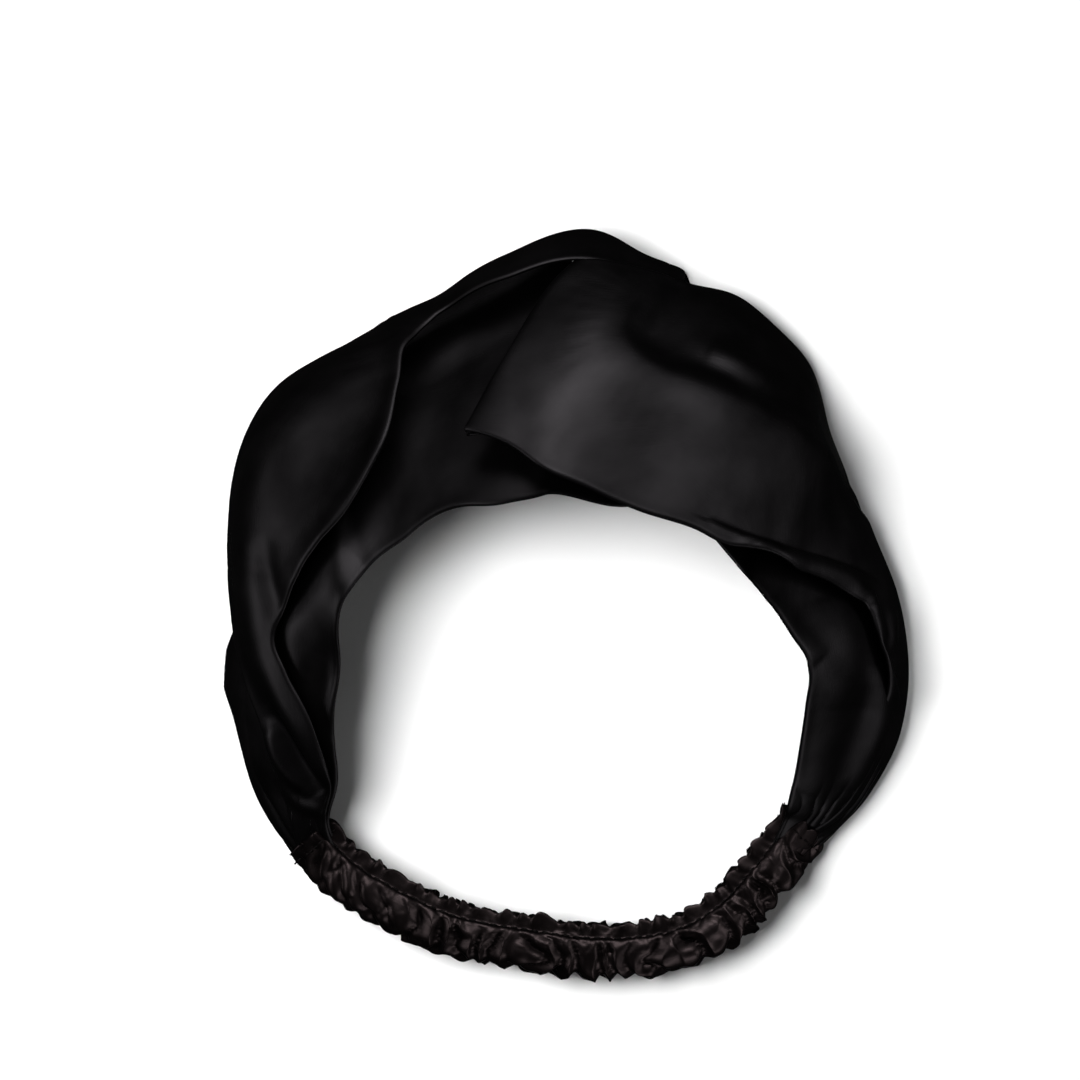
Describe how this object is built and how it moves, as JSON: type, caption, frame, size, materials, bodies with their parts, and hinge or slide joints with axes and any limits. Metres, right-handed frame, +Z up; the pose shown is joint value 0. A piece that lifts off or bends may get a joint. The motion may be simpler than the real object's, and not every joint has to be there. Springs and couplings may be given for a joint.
{
  "type": "knotted headband",
  "caption": "Wide satin headband whose two doubled bands hook through each other at a front knot, closed at the back by a gathered elastic casing.",
  "frame": {"origin": "on the table under the middle of the ring's box, with the band lying as a ring on its outer edge", "axes": "+Z up, away from the table; +Y from the elastic to the knot; +X from the left band to the right band as seen from above"},
  "size_m": [0.1752, 0.1946, 0.0614],
  "materials": {
    "black_satin": "woven polyester satin, soft gloss",
    "gathered_satin": "the same satin, tightly gathered",
    "black_elastic": "braided elastic, matte",
    "black_thread": "sewing thread, matte"
  },
  "bodies": {
    "left_half": {"left_band": "black_satin", "elastic_casing": "gathered_satin", "elastic_strip": "black_elastic", "channel_stitching": "black_thread", "left_join_stitching": "black_thread"},
    "right_half": {"right_band": "black_satin", "right_join_stitching": "black_thread"}
  },
  "joints": [
    {"name": "elastic_opening", "type": "hinge", "parent": "left_half", "child": "right_half", "pos_m": [0, 0.062, 0.03], "axis": [0, 0, 1], "range_deg": [0, 24], "stiffness_Nm_per_rad": 1.6, "deforming": ["left_band", "right_band", "elastic_casing", "elastic_strip", "channel_stitching"]}
  ]
}
